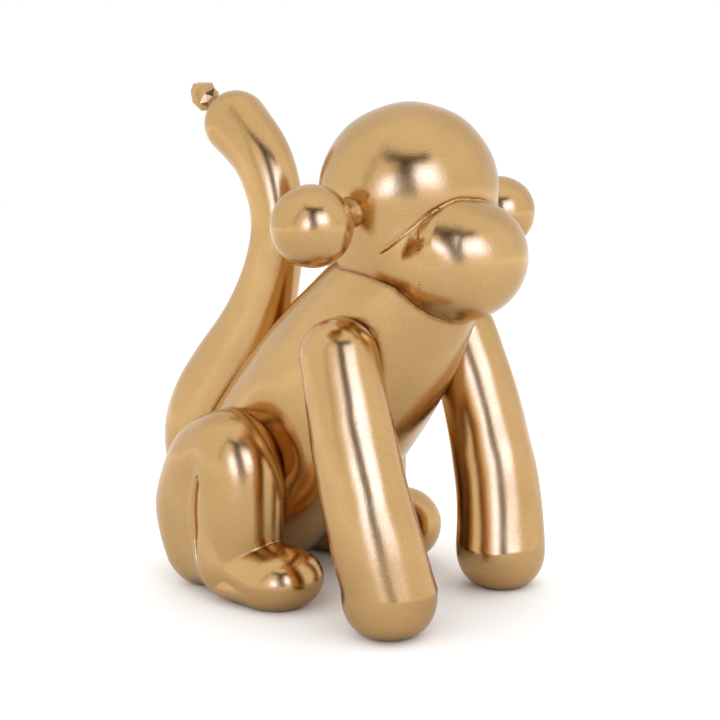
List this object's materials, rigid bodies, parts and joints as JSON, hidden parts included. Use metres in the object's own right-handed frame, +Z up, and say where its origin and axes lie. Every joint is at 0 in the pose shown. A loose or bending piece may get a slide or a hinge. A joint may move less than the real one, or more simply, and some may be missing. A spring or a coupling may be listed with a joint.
{
  "type": "monkey figurine",
  "caption": "Standing ornament: a sitting monkey in the manner of a balloon animal, with round ears, a ball muzzle, propped arms, folded legs and a raised, curved tail with a knot.",
  "frame": {"origin": "middle of the figure's box, on the plane that its felt discs rest on", "axes": "+Z up, the monkey faces -Y, its left side is +X"},
  "size_m": [0.17, 0.2151, 0.25],
  "materials": {
    "gold_resin": "metallic antique gold, satin gloss, with a darker patina in the creases",
    "stopper": "matte",
    "dowel_steel": "drawn",
    "felt": "matte felt"
  },
  "bodies": {
    "root": {"torso": "gold_resin", "head": "gold_resin", "muzzle": "gold_resin", "ear_left": "gold_resin", "ear_right": "gold_resin", "arm_left": "gold_resin", "arm_right": "gold_resin", "leg_left": "gold_resin", "leg_right": "gold_resin", "foot_left": "gold_resin", "foot_right": "gold_resin", "tail": "gold_resin", "tail_knot": "gold_resin", "fill_plug": "stopper", "neck_pin": "dowel_steel", "muzzle_pin": "dowel_steel", "ear_pins": "dowel_steel", "shoulder_pins": "dowel_steel", "hip_pins": "dowel_steel", "ankle_pins": "dowel_steel", "tail_pin": "dowel_steel", "knot_pin": "dowel_steel", "hand_pads": "felt", "heel_pads": "felt", "toe_pads": "felt"}
  },
  "joints": []
}
